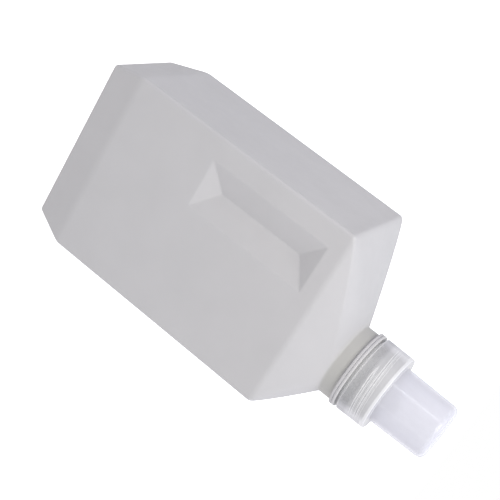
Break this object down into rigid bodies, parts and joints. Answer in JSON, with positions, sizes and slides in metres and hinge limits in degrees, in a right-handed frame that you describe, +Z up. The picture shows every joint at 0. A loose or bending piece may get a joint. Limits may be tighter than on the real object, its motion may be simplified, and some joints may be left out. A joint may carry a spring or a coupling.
{
  "type": "detergent dispenser bottle",
  "caption": "Rectangular blow-moulded detergent bottle with grip recesses, an off-centre threaded neck, a pouring spout and a translucent measuring cap.",
  "frame": {"origin": "middle of the base, on the surface that the bottle stands on", "axes": "+Z up along the bottle towards the cap, front face towards -Y, neck offset towards +X"},
  "size_m": [0.1, 0.0678, 0.229],
  "materials": {
    "bottle_plastic": "light grey polyethylene with a fine satin moulding texture",
    "spout_plastic": "light grey polyethylene, satin",
    "seal_foam": "soft white foamed polyethylene",
    "cap_plastic": "natural translucent polypropylene, glossy outside"
  },
  "bodies": {
    "bottle": {"bottle_body": "bottle_plastic", "pour_spout": "spout_plastic"},
    "seal": {"cap_seal_ring": "seal_foam"},
    "cap": {"measuring_cap": "cap_plastic"}
  },
  "joints": [
    {"name": "cap_lift", "type": "slide", "parent": "bottle", "child": "seal", "axis": [0, 0, 1], "range_m": [0, 0.02551]},
    {"name": "cap_turn", "type": "hinge", "parent": "seal", "child": "cap", "pos_m": [0.0161, 0, 0.1885], "axis": [0, 0, 1], "range_deg": [0, 1530]}
  ],
  "couplings": [
    {"joint": "cap_lift", "follows": "cap_turn", "m_per_rad": 0.00095493}
  ]
}
